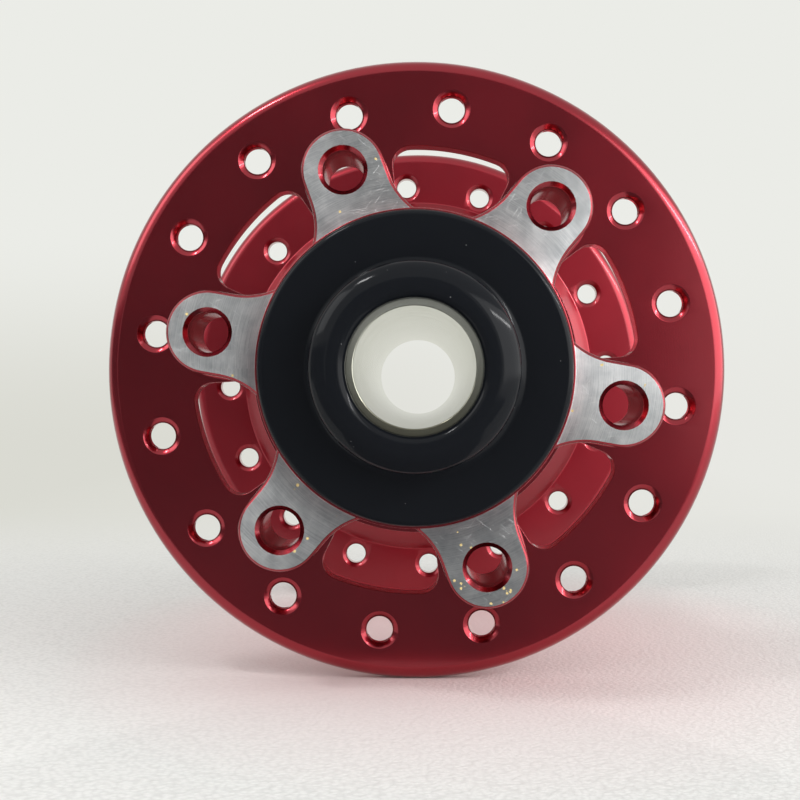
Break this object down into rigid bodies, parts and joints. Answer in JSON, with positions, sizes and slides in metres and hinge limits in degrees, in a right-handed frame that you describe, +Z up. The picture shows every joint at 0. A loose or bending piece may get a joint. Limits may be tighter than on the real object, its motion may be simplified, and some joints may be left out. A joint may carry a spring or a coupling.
{
  "type": "front bicycle hub",
  "caption": "Front wheel hub with a flange at each side for spokes, a tabbed mount for a brake disc, and a hollow axle that it turns on.",
  "frame": {"origin": "middle of the axle, half way between the two end faces that meet the fork", "axes": "+Y along the axle from the disc side to the plain side, +Z up, +X to the right as seen from the disc side"},
  "size_m": [0.0684, 0.1, 0.0684],
  "materials": {
    "red_anodised_shell": "deep red anodised, satin, with the rotor tabs' faces skimmed bare",
    "black_anodised_caps": "black anodised, satin",
    "bare_aluminium": "turned, bare",
    "bearing_steel": "ground",
    "polished_balls": "polished",
    "nylon_cage": "moulded nylon, matt",
    "black_rubber": "moulded, matt"
  },
  "bodies": {
    "axle": {"axle_tube": "bare_aluminium", "disc_side_end_cap": "black_anodised_caps", "disc_side_cap_o_ring": "black_rubber", "disc_side_bearing_inner_race": "bearing_steel", "plain_side_end_cap": "black_anodised_caps", "plain_side_cap_o_ring": "black_rubber", "plain_side_bearing_inner_race": "bearing_steel"},
    "shell": {"hub_shell": "red_anodised_shell", "disc_side_bearing_outer_race": "bearing_steel", "disc_side_bearing_outside_seal": "black_rubber", "disc_side_bearing_inside_seal": "black_rubber", "plain_side_bearing_outer_race": "bearing_steel", "plain_side_bearing_outside_seal": "black_rubber", "plain_side_bearing_inside_seal": "black_rubber"},
    "disc_side_cage": {"disc_side_bearing_cage": "nylon_cage", "disc_side_ball_01": "polished_balls", "disc_side_ball_02": "polished_balls", "disc_side_ball_03": "polished_balls", "disc_side_ball_04": "polished_balls", "disc_side_ball_05": "polished_balls", "disc_side_ball_06": "polished_balls", "disc_side_ball_07": "polished_balls", "disc_side_ball_08": "polished_balls", "disc_side_ball_09": "polished_balls", "disc_side_ball_10": "polished_balls", "disc_side_ball_11": "polished_balls", "disc_side_ball_12": "polished_balls"},
    "plain_side_cage": {"plain_side_bearing_cage": "nylon_cage", "plain_side_ball_01": "polished_balls", "plain_side_ball_02": "polished_balls", "plain_side_ball_03": "polished_balls", "plain_side_ball_04": "polished_balls", "plain_side_ball_05": "polished_balls", "plain_side_ball_06": "polished_balls", "plain_side_ball_07": "polished_balls", "plain_side_ball_08": "polished_balls", "plain_side_ball_09": "polished_balls", "plain_side_ball_10": "polished_balls", "plain_side_ball_11": "polished_balls", "plain_side_ball_12": "polished_balls"}
  },
  "joints": [
    {"name": "shell_spin", "type": "hinge", "parent": "axle", "child": "shell", "pos_m": [0, 0, 0], "axis": [0, 1, 0], "continuous": true},
    {"name": "disc_side_cage_spin", "type": "hinge", "parent": "axle", "child": "disc_side_cage", "pos_m": [0, 0, 0], "axis": [0, 1, 0], "continuous": true},
    {"name": "plain_side_cage_spin", "type": "hinge", "parent": "axle", "child": "plain_side_cage", "pos_m": [0, 0, 0], "axis": [0, 1, 0], "continuous": true}
  ],
  "couplings": [
    {"joint": "disc_side_cage_spin", "follows": "shell_spin", "ratio": 0.57447},
    {"joint": "plain_side_cage_spin", "follows": "shell_spin", "ratio": 0.57447}
  ]
}
